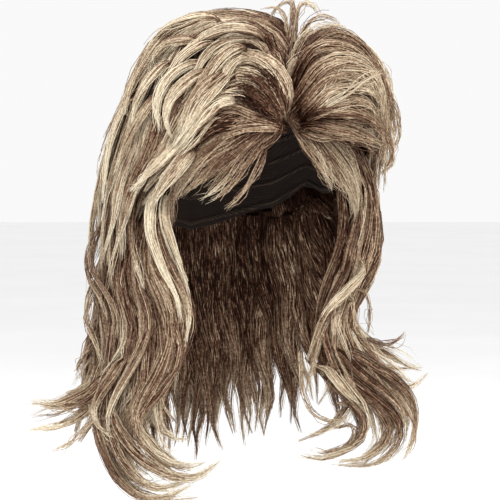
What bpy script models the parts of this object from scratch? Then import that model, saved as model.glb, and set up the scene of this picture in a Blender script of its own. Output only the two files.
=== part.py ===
"""Teased, layered costume wig: a stretch cap with the hair sewn on it in groups of locks.

Metres, +Z up. The origin is the inside of the cap's crown, where the top of the head comes.
The wearer faces -Y, and the wearer's left is +X.
"""

import math
from collections import namedtuple

import bmesh
import bpy
from mathutils import Vector

# The hollow of the cap: an egg with a deeper lower half, for a head of about 56 cm round.
HEAD_HALF_WIDTH = 0.076
HEAD_HALF_LENGTH = 0.095
HEAD_RISE = 0.092
HEAD_FALL = 0.155
HEAD_CENTRE = Vector((0, 0, -HEAD_RISE))
CAP_WALL = 0.0015
# Stand-offs from the hollow: where hair and its locks start, the outside of the dense hair sewn
# under the fringe and in the curtains, and where the crown's locks pass over both.
HAIR_STAND = 0.0024
LOCK_STAND = 0.0040
STRIP_STAND = 0.0058
CURTAIN_STAND = 0.0100
UNDER_STAND = 0.0138
OVER_STAND = 0.0156
FRINGE_STAND = 0.0066
ABOVE_FRINGE_STAND = 0.0086
# Heights: the under layer is held in above the first, and the crown's locks ride out below the second.
UNDER_HEIGHT = -0.158
OVER_HEIGHT = -0.064
CURTAIN_TOP = -0.0905
# The side curtains end and the back hair begins at this azimuth, with a gap in degrees.
SIDE_END = 124.5
BACK_START = 125.5
# A lock's section has this many sides, and each lock lies this much higher than the one before.
# Its rings come about this far apart.
SECTION_SIDES = 8
LOCK_LIFT = 0.00017
# The most depth the middle of a lock is given where the cap or another layer hems it in.
NARROW_DEPTH = 0.009
RING_SPACING = 0.023

Edge = namedtuple("Edge", "azimuth polar")
Lock = namedtuple("Lock", "root width depth stations")
Form = namedtuple("Form", "polar front left_front left left_back back right_back right right_front")

# Each edge runs from the middle of the forehead, azimuth 0, to the nape, 180, the same on both sides.
# Polar is the angle down from the crown, in degrees.
CAP_HEM = (
    Edge(0, 62),
    Edge(30, 65),
    Edge(55, 76),
    Edge(75, 96),
    Edge(92, 97),
    Edge(108, 92),
    Edge(135, 104),
    Edge(180, 113),
)
CROWN_HEM = (Edge(0, 56), Edge(30, 59), Edge(52, 68), Edge(72, 84), Edge(90, 88), Edge(180, 88))
# The outside of the crown's teased mass: distances from the middle of the head, every 45 degrees
# round from the front, with a valley at the front where the parting runs.
CROWN_FORM = (
    Form(0, 0.125, 0.125, 0.125, 0.125, 0.125, 0.125, 0.125, 0.125),
    Form(20, 0.112, 0.128, 0.130, 0.132, 0.135, 0.126, 0.126, 0.122),
    Form(40, 0.102, 0.131, 0.129, 0.130, 0.137, 0.119, 0.115, 0.118),
    Form(60, 0.100, 0.126, 0.115, 0.117, 0.128, 0.109, 0.102, 0.108),
    Form(90, 0.098, 0.110, 0.103, 0.107, 0.117, 0.104, 0.098, 0.098),
)

# A lock's root is (azimuth, polar) on the cap. Its stations are (azimuth, reach, height): degrees
# round the head, distance out from the head's upright axis and height above the origin.
CROWN_RIGHT = (
    Lock((-2, 60), 0.024, 0.010, [(-12, 0.090, -0.038), (-26, 0.098, -0.033), (-38, 0.103, -0.039),
                                  (-50, 0.101, -0.058), (-62, 0.100, -0.082), (-74, 0.099, -0.108)]),
    Lock((-3, 45), 0.028, 0.012, [(-9, 0.079, -0.004), (-21, 0.081, 0.006),
                                  (-32, 0.091, -0.003), (-40, 0.103, -0.024), (-48, 0.103, -0.046),
                                  (-58, 0.101, -0.070), (-70, 0.103, -0.096), (-80, 0.103, -0.124)]),
    Lock((-3, 36), 0.036, 0.014, [(-8, 0.066, 0.012), (-26, 0.059, 0.025), (-46, 0.056, 0.026),
                                  (-62, 0.066, 0.014), (-70, 0.082, -0.010), (-76, 0.094, -0.040),
                                  (-84, 0.102, -0.080), (-91, 0.106, -0.118), (-94, 0.107, -0.148)]),
    Lock((-4, 24), 0.038, 0.014, [(-30, 0.036, 0.034), (-65, 0.046, 0.034), (-86, 0.062, 0.020),
                                  (-95, 0.080, -0.006), (-100, 0.093, -0.042), (-103, 0.102, -0.084),
                                  (-105, 0.110, -0.122), (-106, 0.112, -0.152)]),
    Lock((-20, 12), 0.040, 0.014, [(-85, 0.028, 0.038), (-110, 0.048, 0.032), (-114, 0.068, 0.014),
                                   (-116, 0.082, -0.014), (-116, 0.095, -0.054), (-117, 0.106, -0.094),
                                   (-117, 0.112, -0.130), (-116, 0.114, -0.158)]),
    Lock((-121, 9), 0.040, 0.014, [(-131, 0.036, 0.034), (-135, 0.060, 0.022), (-136, 0.080, 0.000),
                                   (-136, 0.094, -0.036), (-135, 0.106, -0.080), (-133, 0.116, -0.128)]),
)
CROWN_LEFT = (
    Lock((3, 57), 0.020, 0.010, [(11, 0.092, -0.041), (26, 0.103, -0.044), (38, 0.110, -0.050),
                                 (47, 0.121, -0.058), (55, 0.128, -0.070)]),
    Lock((3, 55), 0.030, 0.012, [(12, 0.092, -0.034), (25, 0.104, -0.028), (38, 0.114, -0.028),
                                 (48, 0.125, -0.040), (53, 0.129, -0.058), (52, 0.124, -0.080)]),
    Lock((4, 46), 0.032, 0.013, [(14, 0.080, -0.014), (26, 0.094, 0.000), (40, 0.108, 0.001),
                                 (52, 0.120, -0.014), (58, 0.125, -0.036), (60, 0.120, -0.062)]),
    Lock((6, 34), 0.034, 0.014, [(20, 0.066, 0.011), (34, 0.076, 0.022), (48, 0.090, 0.021),
                                 (58, 0.104, 0.006), (65, 0.115, -0.016), (70, 0.118, -0.046),
                                 (72, 0.115, -0.082), (70, 0.111, -0.122), (65, 0.107, -0.164)]),
    Lock((8, 22), 0.036, 0.014, [(44, 0.044, 0.030), (64, 0.064, 0.030), (76, 0.084, 0.015),
                                 (83, 0.098, -0.012), (88, 0.106, -0.048), (90, 0.110, -0.090),
                                 (92, 0.112, -0.130)]),
    Lock((40, 10), 0.040, 0.014, [(86, 0.042, 0.034), (98, 0.068, 0.026), (105, 0.088, 0.004),
                                  (109, 0.102, -0.032), (111, 0.110, -0.078), (110, 0.117, -0.130)]),
    Lock((120, 8), 0.042, 0.014, [(124, 0.044, 0.036), (129, 0.070, 0.026), (131, 0.092, 0.004),
                                  (132, 0.106, -0.034), (132, 0.114, -0.080), (130, 0.120, -0.130)]),
)
CROWN_BACK = (
    Lock((-165, 12), 0.042, 0.014, [(-157, 0.050, 0.035), (-156, 0.076, 0.024),
                                    (-156, 0.098, -0.004), (-155, 0.112, -0.046),
                                    (-154, 0.120, -0.094), (-151, 0.127, -0.144)]),
    Lock((180, 14), 0.044, 0.014, [(179, 0.056, 0.037), (178, 0.086, 0.025), (178, 0.109, -0.005),
                                   (178, 0.122, -0.048), (178, 0.128, -0.098), (180, 0.134, -0.150)]),
    Lock((165, 12), 0.042, 0.014, [(154, 0.052, 0.037), (153, 0.080, 0.026), (153, 0.103, -0.002),
                                   (153, 0.116, -0.044), (152, 0.123, -0.092), (150, 0.129, -0.142)]),
)
TOP_TUFT = (
    Lock((20, 26), 0.010, 0.006, [(33, 0.044, 0.020), (38, 0.047, 0.036), (38, 0.049, 0.050),
                                  (26, 0.040, 0.050), (12, 0.034, 0.038)]),
    Lock((24, 26), 0.008, 0.005, [(38, 0.046, 0.020), (43, 0.050, 0.038), (48, 0.057, 0.050),
                                  (56, 0.066, 0.047), (62, 0.074, 0.038)]),
)
FRINGE_RIGHT = (
    Lock((-2, 61), 0.014, 0.005, [(-8, 0.094, -0.053), (-16, 0.101, -0.064), (-23, 0.106, -0.080),
                                  (-31, 0.105, -0.096), (-40, 0.100, -0.102)]),
    Lock((-8, 61), 0.020, 0.006, [(-22, 0.098, -0.058), (-35, 0.100, -0.074), (-46, 0.098, -0.092),
                                  (-54, 0.094, -0.106)]),
    Lock((-22, 63), 0.020, 0.006, [(-34, 0.096, -0.063), (-44, 0.096, -0.076), (-52, 0.094, -0.090),
                                   (-57, 0.092, -0.104)]),
)
FRINGE_LEFT = (
    Lock((3, 61), 0.012, 0.005, [(6, 0.096, -0.056), (10, 0.104, -0.072), (17, 0.106, -0.088),
                                 (27, 0.101, -0.104), (35, 0.097, -0.114)]),
    Lock((9, 61), 0.018, 0.006, [(18, 0.098, -0.066), (28, 0.102, -0.084), (39, 0.100, -0.100),
                                 (50, 0.096, -0.116)]),
    Lock((22, 63), 0.018, 0.006, [(31, 0.097, -0.068), (40, 0.099, -0.084), (48, 0.099, -0.102),
                                  (54, 0.096, -0.124)]),
)
SIDE_RIGHT = (
    Lock((-66, 89), 0.022, 0.012, [(-66, 0.088, -0.102), (-74, 0.090, -0.114), (-82, 0.090, -0.128),
                                   (-77, 0.086, -0.148), (-68, 0.081, -0.170), (-60, 0.077, -0.197),
                                   (-58, 0.078, -0.232)]),
    Lock((-72, 92), 0.034, 0.020, [(-70, 0.088, -0.120), (-70, 0.088, -0.150), (-62, 0.087, -0.190),
                                   (-55, 0.090, -0.235), (-50, 0.094, -0.270), (-46, 0.097, -0.298)]),
    Lock((-83, 94), 0.042, 0.024, [(-83, 0.088, -0.130), (-81, 0.093, -0.180), (-75, 0.096, -0.232),
                                   (-67, 0.099, -0.274), (-56, 0.099, -0.304), (-43, 0.095, -0.318),
                                   (-31, 0.090, -0.306)]),
    Lock((-96, 94), 0.042, 0.026, [(-96, 0.090, -0.130), (-95, 0.099, -0.180), (-91, 0.104, -0.232),
                                   (-85, 0.108, -0.280), (-74, 0.109, -0.316), (-59, 0.103, -0.330),
                                   (-47, 0.097, -0.322)]),
    Lock((-108, 94), 0.040, 0.026, [(-108, 0.094, -0.130), (-109, 0.107, -0.180), (-108, 0.113, -0.222),
                                    (-106, 0.119, -0.254), (-103, 0.138, -0.270), (-101, 0.160, -0.268)]),
    Lock((-117, 94), 0.034, 0.024, [(-118, 0.096, -0.130), (-118, 0.110, -0.176), (-117, 0.119, -0.214),
                                    (-116, 0.126, -0.252), (-112, 0.145, -0.280), (-109, 0.162, -0.290)]),
)
SIDE_LEFT = (
    Lock((64, 89), 0.024, 0.012, [(62, 0.090, -0.104), (61, 0.093, -0.124), (60, 0.093, -0.152),
                                  (52, 0.095, -0.182), (38, 0.090, -0.210), (24, 0.087, -0.236),
                                  (15, 0.090, -0.260)]),
    Lock((73, 93), 0.036, 0.022, [(72, 0.092, -0.122), (70, 0.094, -0.152), (62, 0.099, -0.186),
                                  (51, 0.101, -0.222), (42, 0.108, -0.256), (34, 0.112, -0.284),
                                  (21, 0.106, -0.300), (8, 0.098, -0.296)]),
    Lock((87, 94), 0.038, 0.024, [(84, 0.092, -0.130), (80, 0.100, -0.170), (69, 0.107, -0.204),
                                  (61, 0.116, -0.236), (54, 0.124, -0.268), (46, 0.126, -0.296),
                                  (33, 0.118, -0.312), (20, 0.109, -0.308)]),
    Lock((101, 94), 0.036, 0.022, [(98, 0.092, -0.130), (92, 0.104, -0.172), (80, 0.113, -0.206),
                                   (71, 0.125, -0.236), (64, 0.134, -0.266), (60, 0.135, -0.296)]),
    Lock((114, 94), 0.034, 0.020, [(112, 0.095, -0.130), (104, 0.110, -0.172), (92, 0.121, -0.202),
                                   (84, 0.138, -0.226), (78, 0.150, -0.240), (74, 0.162, -0.238)]),
    Lock((119, 95), 0.034, 0.022, [(119, 0.098, -0.130), (117, 0.112, -0.180), (113, 0.119, -0.228),
                                   (107, 0.126, -0.270), (100, 0.132, -0.302)]),
)
BACK_HAIR = (
    Lock((-133, 96), 0.044, 0.022, [(-133, 0.108, -0.130), (-132, 0.112, -0.180), (-131, 0.114, -0.232),
                                    (-131, 0.120, -0.278), (-133, 0.136, -0.306)]),
    Lock((-149, 96), 0.048, 0.024, [(-149, 0.114, -0.130), (-149, 0.118, -0.180), (-149, 0.119, -0.236),
                                    (-150, 0.124, -0.286), (-153, 0.140, -0.316)]),
    Lock((-166, 96), 0.048, 0.024, [(-166, 0.118, -0.130), (-167, 0.122, -0.180), (-168, 0.122, -0.238),
                                    (-170, 0.127, -0.290), (-174, 0.138, -0.324)]),
    Lock((176, 96), 0.048, 0.024, [(176, 0.120, -0.130), (175, 0.124, -0.180), (174, 0.124, -0.240),
                                   (173, 0.128, -0.292), (171, 0.140, -0.328)]),
    Lock((159, 96), 0.048, 0.024, [(159, 0.117, -0.130), (158, 0.121, -0.180), (157, 0.121, -0.236),
                                   (156, 0.126, -0.288), (153, 0.140, -0.320)]),
    Lock((142, 96), 0.046, 0.022, [(142, 0.111, -0.130), (141, 0.114, -0.180), (140, 0.116, -0.232),
                                   (139, 0.122, -0.278), (140, 0.138, -0.308)]),
)


def on_cap(azimuth, polar, stand=0.0):
    """A point that far off the cap's hollow, in that direction from the middle of the head."""
    turn, fall = math.radians(azimuth), math.radians(polar)
    way = Vector((math.sin(fall) * math.sin(turn), -math.sin(fall) * math.cos(turn), math.cos(fall)))
    return HEAD_CENTRE + way * cap_reach(way, stand)


def cap_reach(way, stand):
    """How far the surface that far off the cap's hollow lies from the middle of the head."""
    rise = HEAD_RISE if way.z > 0 else HEAD_FALL
    halves = (HEAD_HALF_WIDTH + stand, HEAD_HALF_LENGTH + stand, rise + stand)
    return 1 / math.sqrt(sum((part / half) ** 2 for part, half in zip(way, halves)))


def round_head(azimuth, reach, height):
    """The point at a station: an azimuth, a distance out from the head's axis and a height."""
    turn = math.radians(azimuth)
    return Vector((reach * math.sin(turn), -reach * math.cos(turn), height))


def column_reach(azimuth, stand):
    """The reach of the head's widest outline in that direction, plus a stand-off."""
    turn = math.radians(azimuth)
    wide, long = HEAD_HALF_WIDTH + stand, HEAD_HALF_LENGTH + stand
    return 1 / math.hypot(math.sin(turn) / wide, math.cos(turn) / long)


def eased(table, azimuth):
    """The second column of an edge table at an azimuth, eased between its rows."""
    at = abs((azimuth + 180) % 360 - 180)
    for low, high in zip(table, table[1:]):
        if at <= high[0]:
            share = (at - low[0]) / (high[0] - low[0])
            share = share * share * (3 - 2 * share)
            return low[1] + (high[1] - low[1]) * share
    return table[-1][1]


def crown_distance(azimuth, polar):
    """How far the outside of the crown's mass lies from the middle of the head in that direction."""
    columns = Form._fields[1:]
    column, part = divmod((azimuth % 360) / (360 / len(columns)), 1)
    part = part * part * (3 - 2 * part)
    start, end = columns[int(column) % len(columns)], columns[(int(column) + 1) % len(columns)]
    profiles = [[(row.polar, getattr(row, side)) for row in CROWN_FORM] for side in (start, end)]
    low, high = (eased(profile, polar) for profile in profiles)
    return low + (high - low) * part


def over_cap(point, room):
    """A crown point, moved out where it would meet the cap, the fringe's strip or the curtains."""
    way = (point - HEAD_CENTRE).normalized()
    azimuth = math.degrees(math.atan2(point.x, -point.y))
    at_front = abs(azimuth) < 50 and way.z < math.cos(math.radians(54))
    stand = room + (ABOVE_FRINGE_STAND if at_front else LOCK_STAND)
    point = HEAD_CENTRE + way * max((point - HEAD_CENTRE).length, cap_reach(way, stand))
    reach = math.hypot(point.x, point.y)
    if point.z < OVER_HEIGHT and not at_front:
        reach = max(reach, column_reach(azimuth, OVER_STAND + room))
    return round_head(azimuth, reach, point.z)


def under_crown(point, room, first, last):
    """A curtain point, held under the crown's locks, off the cap and between two azimuths."""
    azimuth = math.degrees(math.atan2(point.x, -point.y))
    if last > 180 and azimuth < 0:
        azimuth += 360
    azimuth = min(max(azimuth, first), last)
    reach = math.hypot(point.x, point.y)
    if point.z > UNDER_HEIGHT:
        reach = min(reach, column_reach(azimuth, UNDER_STAND - room))
        reach = max(reach, column_reach(azimuth, LOCK_STAND + room))
    return round_head(azimuth, reach, point.z)


def off_brow(point, room):
    """A fringe point, held off the cap, and low on it where the crown's locks start."""
    way = (point - HEAD_CENTRE).normalized()
    distance = max((point - HEAD_CENTRE).length, cap_reach(way, LOCK_STAND + room))
    if way.z > math.cos(math.radians(66)):
        distance = min(distance, cap_reach(way, FRINGE_STAND - room))
    return HEAD_CENTRE + way * distance


def smooth_line(points):
    """Points about a ring's spacing apart on a smooth curve through the given ones."""
    ends = [points[0] * 2 - points[1], *points, points[-1] * 2 - points[-2]]
    line = []
    for before, start, end, after in zip(ends, ends[1:], ends[2:], ends[3:]):
        steps = max(1, round((end - start).length / RING_SPACING))
        for share in (step / steps for step in range(steps)):
            bend = 2 * before - 5 * start + 4 * end - after
            turn = 3 * start - before - 3 * end + after
            line.append(start + (share * (end - before) + share**2 * bend + share**3 * turn) / 2)
    return [*line, points[-1]]


def add_lock(mesh, lock, lift, keep):
    """One lock: an oval section swept along its line, full near the root and tapering to a point.

    The lift is how much farther from the cap the lock lies than the first one sewn."""
    root = on_cap(*lock.root, HAIR_STAND + lock.depth / 2)
    line = smooth_line([root, *(round_head(*station) for station in lock.stations)])
    line = [keep(middle, lift + min(lock.depth, NARROW_DEPTH) / 2) for middle in line]
    outward = (root - HEAD_CENTRE).normalized()
    rings = []
    for index, middle in enumerate(line[:-1]):
        along = (line[index + 1] - line[max(index - 1, 0)]).normalized()
        away = Vector((middle.x, middle.y, max(0, middle.z + HEAD_RISE))).normalized()
        outward += away * (1 - along.dot(away) ** 2)
        outward = (outward - along * along.dot(outward)).normalized()
        across = along.cross(outward)
        share = index / (len(line) - 1)
        fullness = min(0.4 + 1.8 * share, 1) * math.sqrt(1 - share**2)
        ring = []
        for side in range(SECTION_SIDES):
            turn = math.tau * side / SECTION_SIDES
            offset = across * math.cos(turn) * lock.width + outward * math.sin(turn) * lock.depth
            ring.append(mesh.verts.new(keep(middle + offset * fullness / 2, lift)))
        rings.append(ring)
    tip = mesh.verts.new(keep(line[-1], lift))
    mesh.faces.new(rings[0])
    for ring, after in zip(rings, rings[1:]):
        for side in range(SECTION_SIDES):
            beside = (side + 1) % SECTION_SIDES
            mesh.faces.new((ring[side], ring[beside], after[beside], after[side]))
    for side in range(SECTION_SIDES):
        mesh.faces.new((rings[-1][side], rings[-1][(side + 1) % SECTION_SIDES], tip))


def finish(mesh, name, colour, roughness, collection):
    """Make a named object of the mesh, faces outward, with its own material."""
    bmesh.ops.recalc_face_normals(mesh, faces=mesh.faces)
    bmesh.ops.triangulate(mesh, faces=mesh.faces)
    data = bpy.data.meshes.new(name)
    mesh.to_mesh(data)
    mesh.free()
    piece = bpy.data.objects.new(name, data)
    collection.objects.link(piece)
    if colour:
        material = bpy.data.materials.new(name)
        material.use_nodes = True
        shader = material.node_tree.nodes["Principled BSDF"]
        shader.inputs["Base Color"].default_value = (*colour, 1)
        shader.inputs["Roughness"].default_value = roughness
        data.materials.append(material)
    return piece


def dome(inner, outer, hem, segments, rings):
    """A closed bowl over the head between two surfaces, each given by azimuth and polar."""
    mesh = bmesh.new()
    skins = []
    for surface in (inner, outer):
        top = mesh.verts.new(surface(0, 0))
        rows = []
        for ring in range(1, rings + 1):
            turns = [360 * segment / segments for segment in range(segments)]
            rows.append([mesh.verts.new(surface(turn, hem(turn) * ring / rings)) for turn in turns])
        skins.append(rows)
        for segment in range(segments):
            beside = (segment + 1) % segments
            mesh.faces.new((top, rows[0][segment], rows[0][beside]))
            for row, below in zip(rows, rows[1:]):
                mesh.faces.new((row[segment], below[segment], below[beside], row[beside]))
    for segment in range(segments):
        beside = (segment + 1) % segments
        low, high = skins[0][-1], skins[1][-1]
        mesh.faces.new((low[segment], low[beside], high[beside], high[segment]))
    return mesh


def slab(inner, outer, columns, rows):
    """A closed curved slab between two surfaces, each given by a column's and a row's number."""
    mesh = bmesh.new()
    inside, outside = (
        [[mesh.verts.new(surface(column, row)) for row in range(rows)] for column in range(columns)]
        for surface in (inner, outer)
    )
    for skin in (inside, outside):
        for near, far in zip(skin, skin[1:]):
            for row in range(rows - 1):
                mesh.faces.new((near[row], far[row], far[row + 1], near[row + 1]))
    rims = [
        [(inside[column][row], outside[column][row]) for column in range(columns)] for row in (0, -1)
    ] + [list(zip(inside[column], outside[column])) for column in (0, -1)]
    for rim in rims:
        for (low, high), (low_next, high_next) in zip(rim, rim[1:]):
            mesh.faces.new((low, low_next, high_next, high))
    return mesh


def curtain(first, last, bottom):
    """The dense hair of a curtain, sewn below the crown's edge and hanging straight."""
    columns = round((last - first) / 11) + 1
    rows = 4

    def at(stand):
        def surface(column, row):
            azimuth = first + (last - first) * column / (columns - 1)
            top = max(CURTAIN_TOP, hem_height(azimuth))
            height = top + (bottom - top) * row / (rows - 1)
            return round_head(azimuth, column_reach(azimuth, stand), height)

        return surface

    return slab(at(HAIR_STAND), at(CURTAIN_STAND), columns, rows)


def hem_height(azimuth):
    """A height just below the crown's edge at that azimuth."""
    return on_cap(azimuth, eased(CROWN_HEM, azimuth) + 1.5).z


def brow_strip(first, last):
    """The narrow band of hair sewn along the cap's front edge, below the crown's edge."""

    def at(stand):
        def surface(column, row):
            azimuth = first + (last - first) * column / 4
            top, bottom = eased(CROWN_HEM, azimuth) + 2.5, eased(CAP_HEM, azimuth) + 1
            return on_cap(azimuth, top + (bottom - top) * row, stand)

        return surface

    return slab(at(HAIR_STAND), at(STRIP_STAND), 5, 2)


def hair(name, backing, locks, keep, colour, collection, cutters):
    """One piece of hair: its locks fused to the dense backing they are sewn to."""
    piece = finish(backing, name, colour, 0.45, collection)
    strands = bmesh.new()
    for index, lock in enumerate(locks):
        add_lock(strands, lock, LOCK_LIFT * index, keep)
    tool = finish(strands, name + "_locks", None, None, cutters)
    tool.hide_render = True
    tool.display_type = "WIRE"
    fuse = piece.modifiers.new("locks", "BOOLEAN")
    fuse.operation = "UNION"
    fuse.solver = "EXACT"
    fuse.use_self = True
    fuse.object = tool
    return piece


for old in list(bpy.data.objects):
    bpy.data.objects.remove(old)
wig = bpy.data.collections.new("layered_wig")
cutters = bpy.data.collections.new("cutters")
for group in (wig, cutters):
    bpy.context.scene.collection.children.link(group)

cap_mesh = dome(
    on_cap,
    lambda azimuth, polar: on_cap(azimuth, polar, CAP_WALL),
    lambda azimuth: eased(CAP_HEM, azimuth),
    32,
    9,
)
finish(cap_mesh, "cap", (0.045, 0.028, 0.020), 0.8, wig)

crown_mass = dome(
    lambda azimuth, polar: on_cap(azimuth, polar, HAIR_STAND),
    lambda azimuth, polar: HEAD_CENTRE
    + (on_cap(azimuth, polar) - HEAD_CENTRE).normalized() * crown_distance(azimuth, polar),
    lambda azimuth: eased(CROWN_HEM, azimuth),
    32,
    8,
)
hair("crown", crown_mass, CROWN_RIGHT + CROWN_LEFT + CROWN_BACK + TOP_TUFT, over_cap,
     (0.40, 0.29, 0.19), wig, cutters)
hair("fringe_right", brow_strip(-32, -1.5), FRINGE_RIGHT, off_brow, (0.22, 0.14, 0.10), wig, cutters)
hair("fringe_left", brow_strip(1.5, 32), FRINGE_LEFT, off_brow, (0.30, 0.18, 0.11), wig, cutters)
hair("side_right", curtain(-SIDE_END, -60, -0.215), SIDE_RIGHT,
     lambda point, room: under_crown(point, room, -SIDE_END, -20), (0.26, 0.16, 0.11), wig, cutters)
hair("side_left", curtain(60, SIDE_END, -0.200), SIDE_LEFT,
     lambda point, room: under_crown(point, room, -12, SIDE_END), (0.24, 0.14, 0.09), wig, cutters)
hair("back_hair", curtain(BACK_START, 360 - BACK_START, -0.240), BACK_HAIR,
     lambda point, room: under_crown(point, room, BACK_START, 360 - BACK_START),
     (0.26, 0.16, 0.11), wig, cutters)
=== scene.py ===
"""Looks of a layered costume wig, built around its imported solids.

Metres, +Z up. The origin is the inside of the cap's crown. The wearer faces -Y, and +X is the
wearer's left.
"""

import math

import bmesh
import bpy
import numpy as np
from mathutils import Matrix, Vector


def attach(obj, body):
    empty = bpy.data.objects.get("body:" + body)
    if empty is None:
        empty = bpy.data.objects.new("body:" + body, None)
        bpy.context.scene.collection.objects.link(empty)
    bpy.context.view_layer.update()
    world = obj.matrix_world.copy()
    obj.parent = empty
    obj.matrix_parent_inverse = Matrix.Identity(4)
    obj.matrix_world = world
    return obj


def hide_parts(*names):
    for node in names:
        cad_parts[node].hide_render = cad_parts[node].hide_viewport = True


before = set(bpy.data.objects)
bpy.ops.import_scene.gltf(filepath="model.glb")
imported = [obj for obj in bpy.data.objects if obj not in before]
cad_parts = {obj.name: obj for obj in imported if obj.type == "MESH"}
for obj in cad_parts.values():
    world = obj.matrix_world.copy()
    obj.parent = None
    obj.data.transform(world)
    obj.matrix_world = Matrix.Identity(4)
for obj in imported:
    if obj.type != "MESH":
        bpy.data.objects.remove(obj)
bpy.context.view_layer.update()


# Cap
# A stretch net cap in dark brown elastic yarn, open at the face and the nape. The hair comes on
# tapes, the wefts, which are machine sewn round the cap in rows, so that inside it each row shows
# as a raised band with its stitches.

MM = 0.001
HEAD_HALF_WIDTH = 0.076
HEAD_HALF_LENGTH = 0.095
HEAD_RISE = 0.092
HEAD_FALL = 0.155
HEAD_MIDDLE = np.array((0, 0, -HEAD_RISE))
# The polar angle of the cap's edge, at turns from the face.
HEM_TURNS = (0, 30, 55, 75, 92, 108, 135, 180)
HEM_POLARS = (62, 65, 76, 96, 97, 92, 104, 113)
HEM_MARGIN = 2.5
WEFT_ROWS = 9
WEFT_STEPS = 64
WEFT_WIDTH = 0.0042
WEFT_DEPTH = 0.0010
WEFT_GAP = 0.0001
# A weft's cross-section, as shares of its width and depth.
WEFT_PROFILE = ((-0.5, 0), (-0.35, 0.9), (0, 1), (0.35, 0.9), (0.5, 0))
HEAD_RADIUS = 0.09
YARN_DARK = (0.012, 0.007, 0.005, 1)
YARN_LIGHT = (0.050, 0.030, 0.021, 1)
THREAD_DARK = (0.02, 0.011, 0.007, 1)
THREAD_LIGHT = (0.10, 0.060, 0.038, 1)


class Value:
    """A number that changes over a surface: an expression on it adds the Math nodes it needs."""

    def __init__(self, finish, socket):
        self.finish = finish
        self.socket = socket

    def _with(self, operation, other):
        made = self.finish.node("ShaderNodeMath", {"operation": operation}, {0: self, 1: other})
        return Value(self.finish, made.outputs[0])

    def __add__(self, other):
        return self._with("ADD", other)

    def __sub__(self, other):
        return self._with("SUBTRACT", other)

    def __mul__(self, other):
        return self._with("MULTIPLY", other)


class Finish:
    """A material in the making: a Principled shader and the nodes that feed it."""

    def __init__(self, name, **constants):
        self.material = bpy.data.materials.new(name)
        self.material.use_nodes = True
        self.tree = self.material.node_tree
        self.shader = self.tree.nodes["Principled BSDF"]
        for socket, value in constants.items():
            self.shader.inputs[socket.replace("_", " ")].default_value = value

    def node(self, kind, settings, inputs):
        """A node of that type with its settings, and values or links on its sockets."""
        made = self.tree.nodes.new(kind)
        for setting, value in settings.items():
            setattr(made, setting, value)
        for socket, value in inputs.items():
            self.feed(made.inputs[socket], value)
        return made

    def feed(self, socket, value):
        """Links a value or a socket to a node's socket, or sets a constant on it."""
        if isinstance(value, Value):
            value = value.socket
        if isinstance(value, bpy.types.NodeSocket):
            self.tree.links.new(value, socket)
        else:
            socket.default_value = value

    def attribute(self, name):
        """A number stored on the mesh."""
        made = self.node("ShaderNodeAttribute", {"attribute_name": name}, {})
        return Value(self, made.outputs["Fac"])

    def noise(self, vector, scale, detail):
        """Smooth noise from 0 to 1, about 0.5 in the middle."""
        made = self.node(
            "ShaderNodeTexNoise", {}, {"Vector": vector, "Scale": scale, "Detail": detail}
        )
        return Value(self, made.outputs["Fac"])

    def wave(self, vector, direction, scale, distortion, detail, detail_scale):
        """Bands from 0 to 1 in a direction, a little uneven."""
        sizes = {"Scale": scale, "Distortion": distortion, "Detail": detail}
        sizes["Detail Scale"] = detail_scale
        made = self.node(
            "ShaderNodeTexWave", {"bands_direction": direction}, {"Vector": vector, **sizes}
        )
        return Value(self, made.outputs["Fac"])

    def colour(self, value, stops):
        """Feeds the shader's colour with one read off a ramp of (place, colour) stops."""
        made = self.node("ShaderNodeValToRGB", {}, {"Fac": value})
        ramp = made.color_ramp.elements
        while len(ramp) < len(stops):
            ramp.new(0.5)
        for element, (place, colour) in zip(ramp, stops):
            element.position = place
            element.color = colour
        self.feed(self.shader.inputs["Base Color"], made.outputs["Color"])

    def place(self):
        """Object coordinates, in metres."""
        return self.node("ShaderNodeTexCoord", {}, {}).outputs["Object"]

    def bump(self, height, strength, distance):
        """Feeds the shader's normal with a relief."""
        made = self.node(
            "ShaderNodeBump", {}, {"Height": height, "Strength": strength, "Distance": distance}
        )
        self.feed(self.shader.inputs["Normal"], made.outputs["Normal"])


def cap_reach(way, stand):
    """Distances from the head's middle to the surface that far off the cap's hollow."""
    rise = np.where(way[..., 2] > 0, HEAD_RISE, HEAD_FALL) + stand
    wide, long = HEAD_HALF_WIDTH + stand, HEAD_HALF_LENGTH + stand
    spread = (way[..., 0] / wide) ** 2 + (way[..., 1] / long) ** 2 + (way[..., 2] / rise) ** 2
    return 1 / np.sqrt(spread)


def way_of(azimuth, polar):
    """Directions at a turn from the face and an angle from the top."""
    turn, fall = np.radians(azimuth), np.radians(polar)
    return np.stack(
        [np.sin(fall) * np.sin(turn), -np.sin(fall) * np.cos(turn), np.cos(fall) + 0 * turn], -1
    )


def on_cap(azimuth, polar, stand):
    """Points in such directions, that far off the cap's hollow."""
    way = way_of(azimuth, polar)
    return HEAD_MIDDLE + way * cap_reach(way, stand)[..., None]


def net_finish():
    """Knitted net: fine crossed yarns with small gaps, matt."""
    net = Finish("cap_net", Roughness=0.85)
    place = net.place()
    yarns = net.wave(place, "Z", 300.0, 1.5, 1.0, 40.0)
    ribs = net.wave(place, "DIAGONAL", 260.0, 2.0, 1.0, 40.0)
    weave = yarns * 0.5 + ribs * 0.5
    worn = weave * 0.8 + net.noise(place, 45.0, 3.0) * 0.3
    net.colour(worn, [(0.2, YARN_DARK), (0.9, YARN_LIGHT)])
    net.bump(weave, 0.7, 0.0006)
    return net.material


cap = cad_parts["cap"]
cap.data.materials.clear()
cap.data.materials.append(net_finish())


def cap_hem(azimuth):
    """The polar angle of the cap's edge."""
    return np.interp(np.abs((azimuth + 180) % 360 - 180), HEM_TURNS, HEM_POLARS)


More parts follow.
